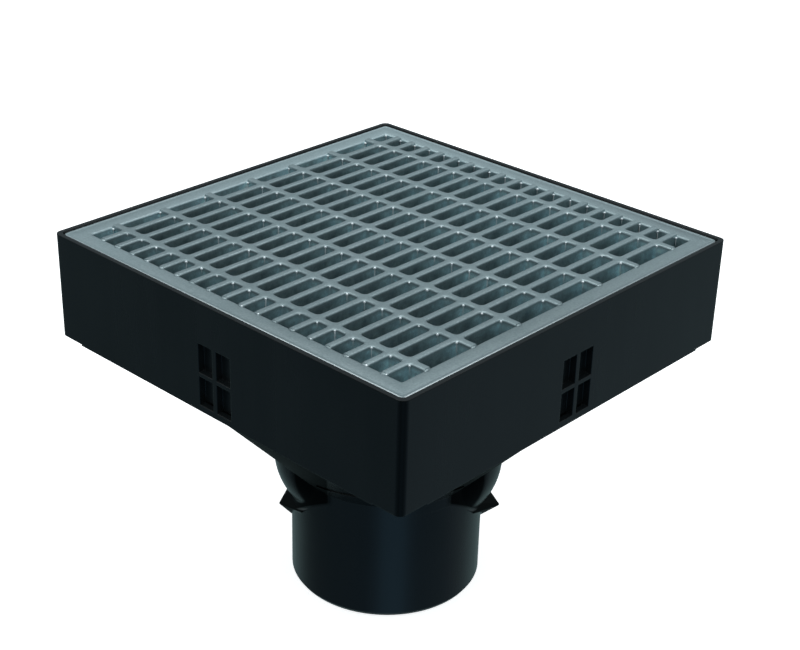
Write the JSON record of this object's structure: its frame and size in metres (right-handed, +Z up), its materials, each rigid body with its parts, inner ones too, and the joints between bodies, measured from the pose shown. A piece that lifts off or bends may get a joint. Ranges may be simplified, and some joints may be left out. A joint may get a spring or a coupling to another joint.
{
  "type": "gully trap",
  "caption": "Square yard gully in black plastic with a steel mesh grating, a conical funnel, a lift-out bell trap and a vertical outlet spigot.",
  "frame": {"origin": "centre of the outlet spigot's end face, at the bottom of the part", "axes": "+Z up along the outlet's axis towards the grating; +X along the grating's bearing bars; +Y along its cross bars"},
  "size_m": [0.255, 0.255, 0.21],
  "materials": {
    "body_plastic": "satin-gloss moulded polypropylene, black",
    "zinc_frame": "hot-dip galvanised, dull grey with a faint mottle",
    "zinc_bars": "hot-dip galvanised, dull grey with a faint mottle",
    "zinc_cross": "hot-dip galvanised, dull grey with a faint mottle",
    "trap_plastic": "satin moulded polypropylene, black",
    "seal_rubber": "matt rubber, black",
    "bell_plastic": "satin moulded polypropylene, black"
  },
  "bodies": {
    "root": {"gully_body": "body_plastic", "grate_frame": "zinc_frame", "grate_bearing_bars": "zinc_bars", "grate_cross_bars": "zinc_cross", "trap_cup": "trap_plastic", "trap_seal_ring": "seal_rubber", "trap_bell": "bell_plastic"}
  },
  "joints": []
}
